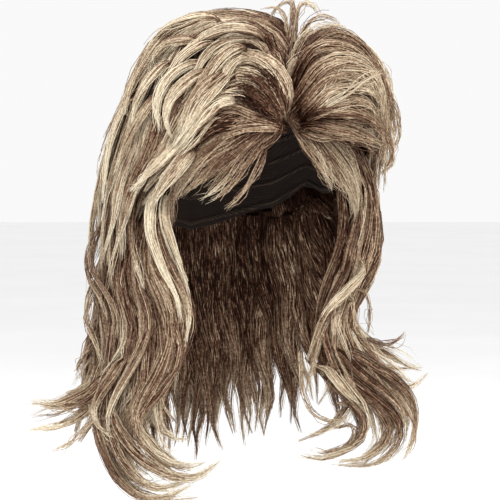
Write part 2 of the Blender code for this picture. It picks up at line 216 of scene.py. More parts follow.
def weft_bands():
    """The rows of weft tape inside the cap, each a rounded band that follows the cap's edge."""
    mesh = bmesh.new()
    turns = np.linspace(0, 360, WEFT_STEPS, endpoint=False)
    for row in range(1, WEFT_ROWS + 1):
        polar = (cap_hem(turns) - HEM_MARGIN) * row / WEFT_ROWS
        rings = []
        for across, depth in WEFT_PROFILE:
            tilt = np.degrees(across * WEFT_WIDTH / HEAD_RADIUS)
            points = on_cap(turns, polar + tilt, -WEFT_DEPTH * depth - WEFT_GAP)
            verts = [mesh.verts.new(point) for point in points]
            rings.append([mesh.edges.new(pair) for pair in zip(verts, verts[1:] + verts[:1])])
        for ring, after in zip(rings, rings[1:] + rings[:1]):
            bmesh.ops.bridge_loops(mesh, edges=ring + after)
    bmesh.ops.recalc_face_normals(mesh, faces=mesh.faces)
    return mesh


def worn_piece(data, material):
    """Makes a riding object of a finished mesh."""
    data.materials.append(material)
    piece = bpy.data.objects.new(data.name, data)
    bpy.context.scene.collection.objects.link(piece)
    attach(piece, "root")
    return piece


def place_mesh(mesh, name, material):
    """Makes a riding object of a bmesh, with smooth faces."""
    for face in mesh.faces:
        face.smooth = True
    data = bpy.data.meshes.new(name)
    mesh.to_mesh(data)
    mesh.free()
    worn_piece(data, material)


def tape_finish():
    """Weft tape: close zigzag stitches in dark thread over brown hair ends."""
    tape = Finish("weft_tape", Roughness=0.7)
    thread = tape.wave(tape.place(), "DIAGONAL", 220.0, 3.0, 2.0, 20.0)
    tape.colour(thread, [(0.1, THREAD_DARK), (0.9, THREAD_LIGHT)])
    tape.bump(thread, 0.8, 0.0008)
    return tape.material


place_mesh(weft_bands(), "weft_bands", tape_finish())


# Back hair
# The long layer at the back: synthetic fibre in mixed brown and blond shades, sewn on wefts in
# rows down the back of the cap. It hangs in overlapping locks, crimped by heat, each lock ending
# in a thin pale point.

# Each guide is a lock's line: where it starts, as (azimuth, polar) on the cap, and then its
# stations, as (azimuth, reach, height): degrees round from the face, distance from the head's
# upright axis, and height.
BACK_GUIDES = (
    ((-118, 93), [(-119, 96, -130), (-119, 108, -176), (-118, 116, -220), (-117, 124, -262),
        (-118, 132, -300)]),
    ((-133, 96), [(-133, 104, -130), (-132, 112, -180), (-131, 114, -232), (-131, 120, -278),
        (-133, 136, -306)]),
    ((-149, 96), [(-149, 108, -130), (-149, 118, -180), (-149, 119, -236), (-150, 124, -286),
        (-153, 138, -316)]),
    ((-166, 96), [(-166, 111, -130), (-167, 121, -180), (-168, 122, -238), (-170, 127, -290),
        (-174, 136, -324)]),
    ((-184, 96), [(-184, 112, -130), (-185, 123, -180), (-186, 124, -240), (-187, 128, -292),
        (-189, 138, -328)]),
    ((-201, 96), [(-201, 110, -130), (-202, 120, -180), (-203, 121, -236), (-204, 126, -288),
        (-207, 138, -320)]),
    ((-218, 96), [(-218, 105, -130), (-219, 113, -180), (-220, 116, -232), (-221, 122, -278),
        (-220, 136, -308)]),
    ((-240, 94), [(-241, 98, -130), (-242, 110, -180), (-246, 118, -228), (-252, 126, -270),
        (-258, 132, -300)]),
)
FIBRE_RADIUS = 0.00032
FIBRE_STAND = 0.0026
GUIDE_POINTS = 49
CURVE_STEPS = 16
ROOT_STAND = 0.004
# Below this height the hair hangs free of the cap.
CAP_LOW = -0.115
# How deep a lock's root lies under its neighbours, where it starts along a fall.
EMERGE_DEPTH = 0.009
EMERGE_LENGTH = 0.18
# A lock that starts nearer the fall's root than this share of it lies open from its root on.
OPEN_START = 0.02
# How firmly an outward direction is carried on from one point of a line to the next.
CARRY = 3
# Neighbouring locks wave nearly together: from guide to guide the phase grows by this.
PHASE_STEP = 0.3
# A lock's sideways wave also swings in and out, later and less.
NOD_LAG = 0.3
NOD_SHARE = 0.5
TIP_THINNING = 0.9
# How fibres lie in a lock: the turns round it on its outer face, squared shares of the way out
# to its edge, its twist, how much shorter some are, and the waves they wander in.
FACE_TURNS = (-0.15 * math.pi, 1.15 * math.pi)
PLACES = (0.3, 1.06)
LOCK_TWIST = 0.7
SHORTER = 0.25
WANDER_WAVES = (0.7, 2.4)
WANDER_DEPTH = 0.7
FIBRE_SIZES = (0.7, 1.2)
FIBRE_THINNING = 0.65
# The mix of dark and pale fibres in each lock, as shifts of shade.
DARK_SHARE = 0.42
DARK_SHIFT = -0.18
PALE_SHIFT = 0.11
SHIFT_SPREAD = 0.06
# Cores are shaded darker than their fibres: painted shade of each lock's packed depth.
CORE_PAINTED_SHADE = -0.10
CORE_SIDES = 8
CRIMP_SCALE = 520.0
CRIMP_SHADE = 0.64
PATCH_SCALE = 30.0
PATCH_SHADE = 0.24
STRANDS_ACROSS = 1150.0
STRANDS_ALONG = 90.0
STREAK_SHADE = 2.3
STREAK_DARKENS = 1.22
# Fibre colours, from the dark roots to the palest ends.
SHADES = [
    (0.00, (0.014, 0.004, 0.002, 1)),
    (0.25, (0.074, 0.029, 0.015, 1)),
    (0.50, (0.256, 0.150, 0.094, 1)),
    (0.75, (0.600, 0.462, 0.310, 1)),
    (1.00, (0.935, 0.835, 0.640, 1)),
]


def from_axis(azimuth, reach, height):
    """The point at a station."""
    turn = math.radians(azimuth)
    return np.array((reach * math.sin(turn), -reach * math.cos(turn), height)) * MM


def smooth_line(points, count):
    """That many evenly spaced points on a smooth curve through the given ones."""
    points = np.array(points)
    ends = np.concatenate([points[:1] * 2 - points[1:2], points, points[-1:] * 2 - points[-2:-1]])
    share = np.linspace(0, 1, CURVE_STEPS, endpoint=False)[:, None]
    line = []
    for before, start, end, after in zip(ends, ends[1:], ends[2:], ends[3:]):
        bend = 2 * before - 5 * start + 4 * end - after
        turn = 3 * start - before - 3 * end + after
        line.append(start + (share * (end - before) + share**2 * bend + share**3 * turn) / 2)
    line = np.concatenate([*line, points[-1:]])
    run = np.concatenate([[0], np.cumsum(np.linalg.norm(np.diff(line, axis=0), axis=1))])
    even = np.linspace(0, run[-1], count)
    return np.stack([np.interp(even, run, line[:, axis]) for axis in range(3)], 1)


def unit(vectors):
    """Vectors made one long."""
    return vectors / (np.linalg.norm(vectors, axis=-1, keepdims=True) + 1e-12)


def outward_of(line):
    """Directions out from the head along a line, carried on where the line itself runs outward."""
    along = unit(np.gradient(line, axis=0))
    away = line - HEAD_MIDDLE
    away[:, 2] = np.maximum(away[:, 2], 0)
    away = unit(away)
    outward = away.copy()
    carried = away[0]
    for index in range(len(line)):
        carried = carried * CARRY + away[index] * (1 - (along[index] @ away[index]) ** 2)
        carried = unit(carried - along[index] * (along[index] @ carried))
        outward[index] = carried
    return outward


def rising(value, low, high):
    """0 below low, 1 above high, and smooth between."""
    share = np.clip((value - low) / (high - low), 0, 1)
    return share * share * (3 - 2 * share)


class Fall:
    """A fall of hair: the smooth field of lines between a row of guides."""

    def __init__(self, guides, station=from_axis):
        lines = [
            smooth_line(
                [on_cap(*map(np.float64, root), ROOT_STAND), *(station(*row) for row in rows)],
                GUIDE_POINTS,
            )
            for root, rows in guides
        ]
        self.lines = np.stack(lines)
        self.outward = np.stack([outward_of(line) for line in lines])
        self.last = len(guides) - 1

    def at(self, side, share):
        """Points and outward directions: side counts guides, share runs from root to tip."""
        side = np.clip(side, 0, self.last - 1e-6)
        first = np.floor(side).astype(int)
        part = (side - first)[:, None, None]
        # How much each of the four guides around counts, on a smooth curve through them.
        weights = (
            ((2 - part) * part - 1) * part / 2,
            ((3 * part - 5) * part * part + 2) / 2,
            ((4 - 3 * part) * part + 1) * part / 2,
            (part - 1) * part * part / 2,
        )
        step = np.clip(share, 0, 1) * (GUIDE_POINTS - 1)
        low = np.minimum(np.floor(step).astype(int), GUIDE_POINTS - 2)
        rest = (step - low)[..., None]
        sums = []
        for field in (self.lines, self.outward):
            total = 0
            for offset, weight in zip((-1, 0, 1, 2), weights):
                guide = np.clip(first + offset, 0, self.last)[:, None]
                between = field[guide, low] * (1 - rest) + field[guide, low + 1] * rest
                total = total + weight * between
            sums.append(total)
        return sums[0], unit(sums[1])

    def locks(self, count, seed, steps, start, run, **look):
        """Many locks spread over the fall. Each starts at a share of its length and runs on for
        another share; the pairs are the ranges that each lock's own value is drawn from."""
        draw = np.random.default_rng(seed)
        side = self.last * (np.arange(count) + draw.uniform(0.1, 0.9, count)) / count
        begins = draw.uniform(*start, count)[:, None]
        ends = np.minimum(begins + draw.uniform(*run, count)[:, None], 1)
        share = begins + (ends - begins) * np.linspace(0, 1, steps)
        middle, outward = self.at(side, share)
        return dressed(middle, outward, share, side, draw, **look)


def dressed(middle, outward, share, side, draw, width, depth, lift, tone, wave=(0.0, 0.08),
            bend=(0, 0), flip=(0, 0), chaos=0.4, root_dark=0.2, root_length=0.12, tip_light=0.2,
            stray=0.0009, root_full=0.5):
    """Locks on given lines, with their frames, sizes and shades. Lengths are in metres; wave is
    (size, length), bend bows a lock sideways, and flip throws its tip outward."""
    count, steps = middle.shape[:2]
    step = np.linspace(0, 1, steps)[None]

    def each(pair):
        return draw.uniform(*pair, count)[:, None]

    length = np.linalg.norm(np.diff(middle, axis=1), axis=2).sum(1)[:, None]
    across = unit(np.cross(outward, np.gradient(middle, axis=1)))
    travelled = length * (step + share[:, :1])
    phase = side[:, None] * PHASE_STEP + each((-chaos, chaos))
    swing = np.sin(math.tau * (travelled / wave[1] + phase))
    nod = np.sin(math.tau * (travelled / wave[1] + phase + NOD_LAG))
    grown = rising(step, 0.0, 0.5)
    aside = swing * grown * wave[0] * each((0.6, 1)) + np.sin(math.pi * step) * each(bend)
    emerging = (share[:, :1] > OPEN_START) * (1 - rising(step, 0, EMERGE_LENGTH))
    above = each(lift) * rising(step, 0, 0.25) - EMERGE_DEPTH * emerging
    above = above + each(flip) * rising(step, 0.5, 1) ** 2 + nod * grown * wave[0] * NOD_SHARE
    middle = middle + across * aside[..., None] + outward * above[..., None]
    along = unit(np.gradient(middle, axis=1))
    across = unit(np.cross(outward, along))
    fullness = root_full + (1 - root_full) * rising(step, 0, 0.25)
    fullness = fullness * (1 - TIP_THINNING * rising(step, 0.4, 1.0))
    shade = each(tone) + tip_light * rising(step, 0.45, 1)
    shade = shade - root_dark * (1 - rising(share, 0, root_length))
    shade = shade - 0.5 * root_dark * (1 - rising(step, 0.0, 0.35))
    return {
        "middle": middle, "across": across, "outward": np.cross(along, across), "share": share,
        "travelled": travelled, "step": np.repeat(step, count, 0), "draw": draw, "stray": stray,
        "fullness": fullness, "width": each(width) / 2, "depth": each(depth) / 2, "shade": shade,
    }


def off_the_cap(points, stand):
    """Points kept outside the cap."""
    from_middle = points - HEAD_MIDDLE
    reach = np.linalg.norm(from_middle, axis=-1)
    way = from_middle / reach[..., None]
    least = np.where(points[..., 2] > CAP_LOW, cap_reach(way, stand), 0)
    return HEAD_MIDDLE + way * np.maximum(reach, least)[..., None]


def tubes(name, middle, across, outward, sides, numbers, material):
    """One mesh of many closed tapering tubes: oval rings along each middle line."""
    count, steps = middle.shape[:2]
    turns = math.tau * np.arange(sides) / sides
    rings = (
        middle[:, :, None]
        + across[:, :, None] * np.cos(turns)[:, None]
        + outward[:, :, None] * np.sin(turns)[:, None]
    )
    base = (np.arange(count) * steps * sides)[:, None, None]
    low = base + np.arange(steps - 1)[None, :, None] * sides
    side, beside = np.arange(sides), (np.arange(sides) + 1) % sides
    walls = np.stack([low + side, low + beside, low + sides + beside, low + sides + side], -1)
    roots = base[:, 0] + side[::-1]
    tips = base[:, 0] + (steps - 1) * sides + side
    corners = np.concatenate([walls.ravel(), roots.ravel(), tips.ravel()]).astype(np.int32)
    sizes = np.concatenate([np.full(walls.size // 4, 4), np.full(2 * count, sides)])
    data = bpy.data.meshes.new(name)
    data.vertices.add(count * steps * sides)
    data.vertices.foreach_set("co", rings.astype(np.float32).ravel())
    data.loops.add(len(corners))
    data.loops.foreach_set("vertex_index", corners)
    data.polygons.add(len(sizes))
    starts = np.concatenate([[0], np.cumsum(sizes)[:-1]]).astype(np.int32)
    data.polygons.foreach_set("loop_start", starts)
    data.update(calc_edges=True)
    data.shade_smooth()
    for key, values in numbers.items():
        values = values[..., None] if values.ndim == 2 else values
        spread = np.broadcast_to(values, (count, steps, sides)).astype(np.float32)
        stored = data.attributes.new(key, "FLOAT", "POINT")
        stored.data.foreach_set("value", spread.ravel())
    return worn_piece(data, material)


def fibres(group, per_lock, face=1, radius=FIBRE_RADIUS):
    """Fibres of a group of locks: their middle lines, thicknesses and shades. Most lie on the
    lock's outer face, or with face -1 on its inner face, or with 0 all round it."""
    draw = group["draw"]
    locks, steps = group["middle"].shape[:2]
    count = locks * per_lock
    row = np.repeat(np.arange(locks), per_lock)[:, None]
    if face:
        turn = face * draw.uniform(*FACE_TURNS, count)[:, None]
    else:
        turn = draw.uniform(0, math.tau, count)[:, None]
    place = draw.uniform(*PLACES, count)[:, None] ** 0.5
    twist = draw.uniform(-LOCK_TWIST, LOCK_TWIST, locks)[row] * group["step"][:1]
    shorter = 1 - draw.random(count)[:, None] ** 2 * SHORTER
    step = np.linspace(0, 1, steps)[None] * shorter
    index = step * (steps - 1)
    low = np.minimum(np.floor(index).astype(int), steps - 2)
    rest = index - low

    def along(values):
        part = rest[..., None] if values.ndim == 3 else rest
        return values[row, low] * (1 - part) + values[row, low + 1] * part

    def wander():
        waves = step * draw.uniform(*WANDER_WAVES, count)[:, None]
        return np.sin(math.tau * (waves + draw.random(count)[:, None]))

    across, outward = along(group["across"]), along(group["outward"])
    loose = group["stray"] * (0.3 + draw.exponential(0.8, count)[:, None]) * (0.3 + step)
    full = along(group["fullness"] + 0 * group["step"])
    aside = full * group["width"][row[:, 0]] * place * np.cos(turn + twist) + loose * wander()
    above = full * group["depth"][row[:, 0]] * place * np.sin(turn + twist)
    above = above + loose * wander() * WANDER_DEPTH
    middle = along(group["middle"]) + across * aside[..., None] + outward * above[..., None]
    middle = off_the_cap(middle, FIBRE_STAND)
    thick = radius * draw.uniform(*FIBRE_SIZES, count)[:, None]
    thick = thick * (1 - FIBRE_THINNING * rising(step, 0.75, 1))
    mixed = np.where(draw.random(count) < DARK_SHARE, DARK_SHIFT, PALE_SHIFT)[:, None]
    mixed = mixed + draw.normal(0, SHIFT_SPREAD, count)[:, None]
    return {
        "middle": middle,
        "across": across * thick[..., None],
        "outward": outward * thick[..., None],
        "shade": along(group["shade"]) + mixed * (1 - 0.4 * step),
    }


def add_hair(name, groups):
    """Makes one piece of several groups of fibres."""
    joined = {key: np.concatenate([group[key] for group in groups]) for key in groups[0]}
    numbers = {"shade": joined["shade"]}
    return tubes(
        name, joined["middle"], joined["across"], joined["outward"], 3, numbers, hair_fibre
    )


def cores(name, group, thickness):
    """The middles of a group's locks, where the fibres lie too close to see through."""
    steps = group["step"].shape[1]
    taper = group["fullness"] * np.sqrt(1 - np.linspace(0, 0.995, steps) ** 3)
    across = group["across"] * (group["width"] * taper * thickness)[..., None]
    outward = group["outward"] * (group["depth"] * taper * thickness)[..., None]
    middle = off_the_cap(group["middle"], ROOT_STAND)
    turns = math.tau * np.arange(CORE_SIDES) / CORE_SIDES
    offset = group["draw"].uniform(0, 1, len(middle))[:, None, None]
    # A core's shade is set below its lock's: painted shade of the packed depth under the fibres.
    numbers = {
        "shade": group["shade"] + CORE_PAINTED_SHADE,
        "strand_across": group["width"][:, None] * np.cos(turns) + offset,
        "strand_above": group["depth"][:, None] * np.sin(turns) + offset,
        "strand_along": group["travelled"],
    }
    return tubes(name, middle, across, outward, CORE_SIDES, numbers, packed_fibre)


def flecked(finish, shade):
    """Colours a finish by its shade, with the flecks of the crimp and uneven patches."""
    place = finish.place()
    crimp = finish.noise(place, CRIMP_SCALE, 1.0)
    patch = finish.noise(place, PATCH_SCALE, 1.0)
    shade = shade + crimp * CRIMP_SHADE - CRIMP_SHADE / 2
    finish.colour(shade + patch * PATCH_SHADE - PATCH_SHADE / 2, SHADES)
    return crimp


def fibre_finish():
    """Glossy synthetic fibre: each strand has its own shade, and its crimp shows as flecks."""
    fibre = Finish("hair_fibre", Roughness=0.45, Specular_IOR_Level=0.12)
    crimp = flecked(fibre, fibre.attribute("shade"))
    fibre.feed(fibre.shader.inputs["Roughness"], crimp * 0.2 + 0.3)
    return fibre.material


def core_finish():
    """The packed fibres inside a lock: fine streaks of brown and blond along it."""
    core = Finish("packed_fibre", Roughness=0.55, Specular_IOR_Level=0.08)
    strand = core.node(
        "ShaderNodeCombineXYZ", {},
        {
            "X": core.attribute("strand_across") * STRANDS_ACROSS,
            "Y": core.attribute("strand_above") * STRANDS_ACROSS,
            "Z": core.attribute("strand_along") * STRANDS_ALONG,
        },
    ).outputs["Vector"]
    streak = core.noise(strand, 1.0, 1.0)
    flecked(core, core.attribute("shade") + streak * STREAK_SHADE - STREAK_DARKENS)
    core.bump(streak, 0.9, 0.0009)
    return core.material


hair_fibre = fibre_finish()
packed_fibre = core_finish()
back_fall = Fall(BACK_GUIDES)
# Inner locks get darker tones than outer ones: painted shade of the depth under the outer hair.
back_inner = back_fall.locks(
    30, 1, 12, start=(0, 0), run=(0.80, 0.97), width=(0.022, 0.030), depth=(0.008, 0.011),
    lift=(-0.010, -0.006), tone=(0.25, 0.45), wave=(0.004, 0.09),
)
back_outer = back_fall.locks(
    34, 3, 12, start=(0, 0.1), run=(0.82, 1.0), width=(0.020, 0.032), depth=(0.008, 0.012),
    lift=(-0.003, 0.002), tone=(0.32, 0.60), wave=(0.005, 0.08), flip=(-0.004, 0.006),
)
back = add_hair("back_fibres", [fibres(back_inner, 14, -1), fibres(back_outer, 26)])
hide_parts("back_hair")
cores("back_cores_inner", back_inner, 0.9)
cores("back_cores_outer", back_outer, 0.85)


# Side hair
# The long layers at the sides of the face, sewn above the ears. They hang forward over the
# shoulders in waved locks of mixed brown and blond, thinned to points that curl in or flick out.

VIEW_TURN = math.radians(-25)
# A single lock's depth is read off the hair within this distance of its line.
LAID_NEAR = 0.009
# Single locks start a little way along, so that their roots are drawn in under the others.
SINGLE_START = 0.05
# The share of its rise that a single lock gives up again by its tip.
SETTLING = 0.6
# After its root, each station is (across, toward, height), measured square to the three-quarter
# view of the worn wig.
SIDE_RIGHT_GUIDES = (
    ((-66, 86), [(-57, 66, -100), (-68, 59, -114), (-74, 50, -130), (-68, 53, -150),
        (-56, 58, -172), (-46, 61, -196), (-46, 62, -222), (-55, 60, -246), (-62, 60, -264)]),
    ((-72, 90), [(-66, 56, -120), (-66, 57, -150), (-54, 62, -186), (-50, 66, -214),
        (-58, 66, -240), (-68, 64, -262), (-73, 64, -284), (-60, 68, -303), (-40, 74, -311),
        (-26, 78, -307)]),
    ((-83, 92), [(-76, 46, -130), (-80, 48, -164), (-71, 56, -200), (-72, 60, -232),
        (-82, 58, -262), (-88, 56, -288), (-76, 62, -311), (-54, 68, -322), (-34, 74, -319),
        (-16, 78, -306)]),
    ((-96, 92), [(-86, 30, -130), (-92, 34, -170), (-88, 42, -206), (-92, 46, -240),
        (-104, 44, -270), (-104, 44, -298), (-90, 50, -322), (-70, 58, -335), (-48, 66, -334),
        (-34, 70, -326)]),
    ((-108, 92), [(-97, 12, -130), (-108, 11, -170), (-102, 16, -206), (-106, 20, -236),
        (-118, 24, -258), (-136, 30, -268), (-157, 38, -267)]),
    ((-118, 92), [(-98, -5, -130), (-108, -6, -172), (-107, -4, -206), (-113, -2, -240),
        (-124, 2, -264), (-142, 8, -282), (-162, 17, -289)]),
)
SIDE_LEFT_GUIDES = (
    ((46, 62), [(72, 38, -58), (85, 24, -74), (92, 12, -98), (92, 8, -126), (86, 14, -152),
        (75, 24, -178), (62, 34, -204), (53, 43, -230), (50, 50, -250)]),
    ((60, 66), [(84, 16, -60), (97, 4, -78), (103, -5, -104), (102, -7, -130), (98, -4, -152),
        (86, 8, -178), (74, 20, -204), (74, 32, -230), (86, 42, -254), (97, 50, -276),
        (90, 58, -294), (68, 66, -304), (50, 72, -301)]),
    ((76, 72), [(90, -8, -64), (104, -16, -84), (110, -22, -116), (108, -18, -152), (94, -6, -180),
        (82, 8, -206), (94, 20, -230), (111, 28, -254), (121, 36, -280), (113, 46, -301),
        (94, 56, -311), (78, 62, -309)]),
    ((101, 92), [(98, -42, -128), (104, -38, -156), (92, -26, -184), (84, -14, -208),
        (105, -2, -232), (128, 6, -256), (135, 12, -282), (125, 20, -307)]),
    ((114, 92), [(66, -71, -130), (84, -66, -172), (86, -58, -204), (108, -46, -228),
        (134, -36, -241), (155, -26, -241)]),
    ((119, 93), [(58, -79, -130), (69, -88, -180), (80, -88, -228), (94, -84, -270),
        (108, -76, -300)]),
)
# Single locks that lie over the falls, as (across, height) in the same view: the pale locks along
# the cheeks, the sweeps, flicks and crescent ends, and thin wisps beside them.
RIGHT_PALE = (
    [(-54, -76), (-62, -96), (-66, -114), (-66, -130), (-60, -148), (-52, -166), (-45, -182),
        (-42, -200)],
    [(-47, -84), (-54, -100), (-56, -118), (-51, -138), (-44, -156), (-39, -172), (-37, -188)],
)
LEFT_PALE = (
    [(106, -150), (97, -164), (86, -175), (75, -185), (65, -199), (58, -216)],
    [(66, -230), (74, -243), (84, -255), (94, -266), (101, -277)],
)
RIGHT_LOCKS = (
    [(-62, -106), (-62, -126), (-55, -148), (-46, -166), (-39, -181), (-36, -196), (-39, -216)],
    [(-84, -144), (-79, -165), (-71, -186), (-68, -204), (-74, -222), (-84, -240), (-94, -258),
        (-100, -276), (-97, -296)],
    [(-66, -162), (-56, -186), (-52, -208), (-58, -231), (-66, -248), (-75, -264), (-77, -280),
        (-62, -300), (-42, -309), (-24, -307)],
    [(-44, -216), (-50, -238), (-62, -256), (-76, -272), (-76, -288), (-60, -304), (-40, -312),
        (-26, -308)],
    [(-98, -236), (-108, -250), (-117, -259), (-130, -265), (-145, -268), (-162, -266)],
    [(-94, -236), (-104, -256), (-116, -270), (-131, -281), (-146, -286), (-166, -288)],
    [(-100, -238), (-102, -256), (-94, -279), (-82, -297), (-65, -311), (-45, -319), (-28, -317),
        (-10, -302)],
    [(-104, -250), (-110, -274), (-106, -294), (-99, -312), (-88, -327), (-71, -337), (-52, -334),
        (-33, -323)],
    [(-96, -262), (-98, -284), (-90, -306), (-76, -322), (-58, -328), (-36, -321)],
    [(-84, -220), (-94, -240), (-104, -254), (-110, -270), (-104, -288)],
    [(-72, -84), (-79, -104), (-82, -126), (-79, -150), (-71, -174)],
)
RIGHT_WISPS = (
    [(-103, -108), (-111, -128), (-117, -148), (-114, -165), (-103, -180), (-96, -198),
        (-98, -218)],
    [(-101, -110), (-108, -130), (-114, -148), (-111, -164), (-101, -178), (-93, -194),
        (-92, -214)],
    [(-104, -116), (-113, -134), (-119, -150), (-116, -167), (-106, -183), (-100, -200)],
    [(-110, -158), (-119, -182), (-119, -202), (-111, -222), (-106, -240)],
    [(-108, -164), (-116, -188), (-116, -208), (-108, -228)],
    [(-108, -212), (-117, -224), (-125, -236), (-128, -248)],
    [(-104, -270), (-117, -284), (-131, -298), (-147, -305)],
    [(-112, -252), (-116, -262), (-110, -278), (-100, -287), (-86, -297)],
)
LEFT_LOCKS = (
    [(92, -138), (87, -156), (78, -174), (68, -194), (60, -214), (53, -232)],
    [(60, -226), (68, -241), (79, -255), (92, -268), (99, -279), (96, -291), (83, -300),
        (66, -306), (48, -302)],
    [(64, -222), (78, -236), (94, -250), (111, -263), (124, -276), (127, -291), (119, -304),
        (105, -312), (88, -311)],
    [(71, -216), (89, -227), (108, -239), (124, -249), (135, -262), (140, -278), (138, -297),
        (130, -310)],
    [(68, -230), (84, -247), (100, -260), (113, -273), (118, -288), (108, -301), (94, -307),
        (78, -306)],
    [(70, -212), (84, -230), (100, -246), (116, -258), (128, -272), (130, -288)],
)
LEFT_WISPS = (
    [(56, -226), (50, -240), (52, -258), (60, -273), (74, -279), (87, -277)],
    [(102, -164), (92, -174), (82, -180), (72, -190)],
    [(98, -172), (103, -186), (105, -202), (103, -217)],
    [(92, -178), (91, -194), (95, -209), (103, -219)],
    [(96, -214), (112, -221), (124, -222), (137, -215)],
    [(84, -264), (106, -266), (126, -256), (140, -254), (152, -245)],
    [(112, -248), (128, -262), (138, -280), (136, -300), (128, -312)],
    [(80, -276), (92, -284), (86, -296), (72, -301), (56, -298)],
)


def as_seen(across, toward, height):
    """The point at a place measured square to the three-quarter view of the worn wig."""
    return np.array((
        across * math.cos(VIEW_TURN) + toward * math.sin(VIEW_TURN),
        across * math.sin(VIEW_TURN) - toward * math.cos(VIEW_TURN),
        height,
    )) * MM


def surface_points(piece):
    """The points of a piece's mesh."""
    points = np.empty(len(piece.data.vertices) * 3)
    piece.data.vertices.foreach_get("co", points)
    return points.reshape(-1, 3)


def single_locks(lines, seed, look):
    """Locks on lines of their own."""
    middle = np.stack(lines)
    count, steps = middle.shape[:2]
    outward = np.stack([outward_of(line) for line in middle])
    share = np.repeat(np.linspace(SINGLE_START, 1, steps)[None], count, 0)
    return dressed(middle, outward, share, np.zeros(count), np.random.default_rng(seed), **look)


def laid(rows, beneath, seed, steps, rise, sink=0.003, follow=2, **look):
    """Single locks on the hair beneath them: each comes out of it at its root and then rises off
    it. Its depth follows the hair's as a curve of that degree."""
    axes = np.array([as_seen(1 / MM, 0, 0), as_seen(0, 1 / MM, 0), as_seen(0, 0, 1 / MM)])
    seen = np.concatenate([surface_points(piece) for piece in beneath]) @ axes.T
    step = np.linspace(0, 1, steps)
    bow = (rise + sink) * rising(step, 0, 0.4) - sink - SETTLING * rise * rising(step, 0.5, 1)
    lines = []
    for stations in rows:
        line = smooth_line([(across * MM, 0, height * MM) for across, height in stations], steps)
        apart = np.hypot(line[:, :1] - seen[:, 0], line[:, 2:] - seen[:, 2])
        near = apart <= np.maximum(apart.min(1, keepdims=True), LAID_NEAR)
        toward = np.where(near, seen[:, 1], -1).max(1)
        line[:, 1] = np.polyval(np.polyfit(step, toward, follow), step) + bow
        lines.append(line @ axes)
    return single_locks(lines, seed, look)


for side, guides, seed, rows, tone, thin_rows, pale_rows in (
    ("right", SIDE_RIGHT_GUIDES, 20, RIGHT_LOCKS, (0.46, 0.60), RIGHT_WISPS, RIGHT_PALE),
    ("left", SIDE_LEFT_GUIDES, 40, LEFT_LOCKS, (0.36, 0.52), LEFT_WISPS, LEFT_PALE),
):
    slot = f"side_{side}"
    side_fall = Fall(guides, as_seen)
    # Inner locks get darker tones than outer ones: painted shade of the depth under the outer
    # hair.
    inner = side_fall.locks(
        18, seed, 15, start=(0, 0.02), run=(0.70, 0.94), width=(0.018, 0.026),
        depth=(0.009, 0.014), lift=(-0.012, -0.007), tone=(0.24, 0.40), wave=(0.003, 0.085),
    )
    outer = side_fall.locks(
        24, seed + 1, 15, start=(0, 0.10), run=(0.74, 0.98), width=(0.014, 0.024),
        depth=(0.008, 0.012), lift=(-0.003, 0.003), tone=(0.38, 0.63), wave=(0.004, 0.08),
        bend=(-0.004, 0.004), flip=(-0.003, 0.006), tip_light=0.34,
    )
    loose = side_fall.locks(
        26, seed + 2, 15, start=(0, 0.35), run=(0.4, 0.9), width=(0.004, 0.010),
        depth=(0.003, 0.006), lift=(0.002, 0.006), tone=(0.42, 0.80), wave=(0.005, 0.075),
        bend=(-0.010, 0.010), flip=(-0.003, 0.010), tip_light=0.25, stray=0.0014,
    )
    strands = [fibres(inner, 14, -1), fibres(outer, 31), fibres(loose, 11, 0)]
    hair = add_hair(f"{slot}_fibres", strands)
    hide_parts(slot)
    beneath = (
        cores(f"{slot}_cores_inner", inner, 0.9),
        cores(f"{slot}_cores_outer", outer, 0.82),
    )
    single = laid(
        rows, beneath, seed + 3, 16, 0.004, sink=0.007, width=(0.010, 0.016),
        depth=(0.005, 0.008), lift=(0, 0.002), tone=tone, root_dark=0.12, tip_light=0.44,
        root_full=0.12,
    )
    thin = laid(
        thin_rows, beneath, seed + 4, 14, 0.005, follow=1, width=(0.003, 0.006),
        depth=(0.002, 0.003), lift=(0, 0.002), tone=(0.46, 0.68), root_dark=0.1, tip_light=0.2,
        stray=0.0015,
    )
    pale = laid(
        pale_rows, beneath, seed + 5, 16, 0.005, width=(0.010, 0.012), depth=(0.005, 0.007),
        lift=(0, 0.002), tone=(0.80, 0.92), root_dark=0.3, tip_light=0.08, root_full=0.1,
    )
    add_hair(f"{slot}_pale_fibres", [fibres(pale, 36, 0)])
    cores(f"{slot}_pale_cores", pale, 0.65)
    add_hair(f"{slot}_single_fibres", [fibres(single, 32, 0)])
    add_hair(f"{slot}_thin_fibres", [fibres(thin, 12, 0)])
    cores(f"{slot}_single_cores", single, 0.6)


# Crown
# The short layers over the top, backcombed at the root so that they stand away from the head.
# From a point at the front hairline they part to both sides, rise in blond arcs and fall over the
# temples, and at the back they lie one over another down to the nape.

